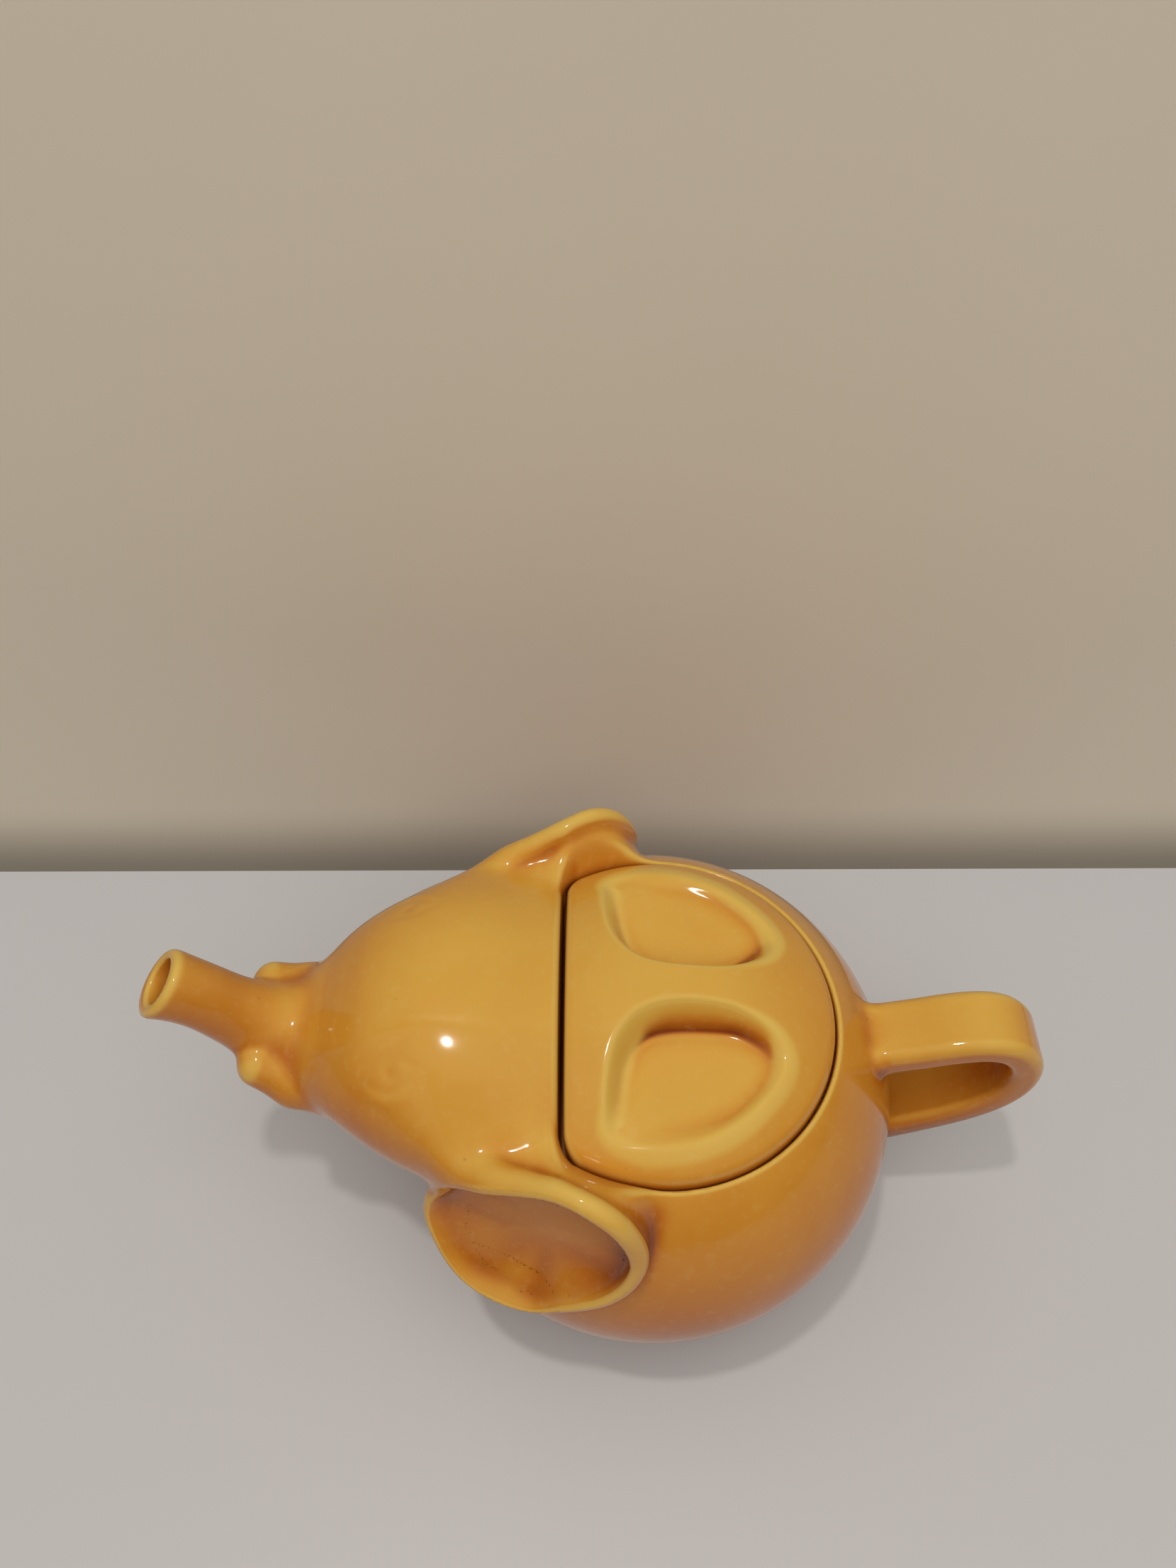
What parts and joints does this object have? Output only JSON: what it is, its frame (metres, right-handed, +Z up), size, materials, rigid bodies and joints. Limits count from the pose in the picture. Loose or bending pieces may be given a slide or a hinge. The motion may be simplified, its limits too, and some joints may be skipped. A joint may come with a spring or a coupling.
{
  "type": "teapot",
  "caption": "Elephant-shaped ceramic teapot: raised trunk spout, dished ears, loop handle and a lift-off lid with finger scoops either side of a pinch bar.",
  "frame": {"origin": "centre of the foot ring's resting face, on the table and on the belly's axis", "axes": "+Z up; -X towards the trunk spout; +X towards the handle; the pot is mirror-symmetric about Y = 0 and the elephant's own right side is +Y"},
  "size_m": [0.2266, 0.132, 0.1266],
  "materials": {
    "outer_glaze": "very glossy translucent honey-yellow glaze, paler on crests and deeper orange where it pools",
    "inner_glaze": "glossy honey-yellow glaze, thinner than outside",
    "bare_foot": "dry unglazed cream earthenware"
  },
  "bodies": {
    "pot": {"belly": "outer_glaze", "foot_ring": "bare_foot", "lid_gallery": "inner_glaze", "head_shell": "outer_glaze", "trunk_spout": "outer_glaze", "ear_left": "outer_glaze", "ear_right": "outer_glaze", "tusk_left": "outer_glaze", "tusk_right": "outer_glaze", "handle": "outer_glaze"},
    "lid": {"lid_dome": "outer_glaze", "lid_collar": "inner_glaze"}
  },
  "joints": [
    {"name": "lid_lift", "type": "slide", "parent": "pot", "child": "lid", "axis": [0, 0, 1], "range_m": [0, 0.07]}
  ]
}
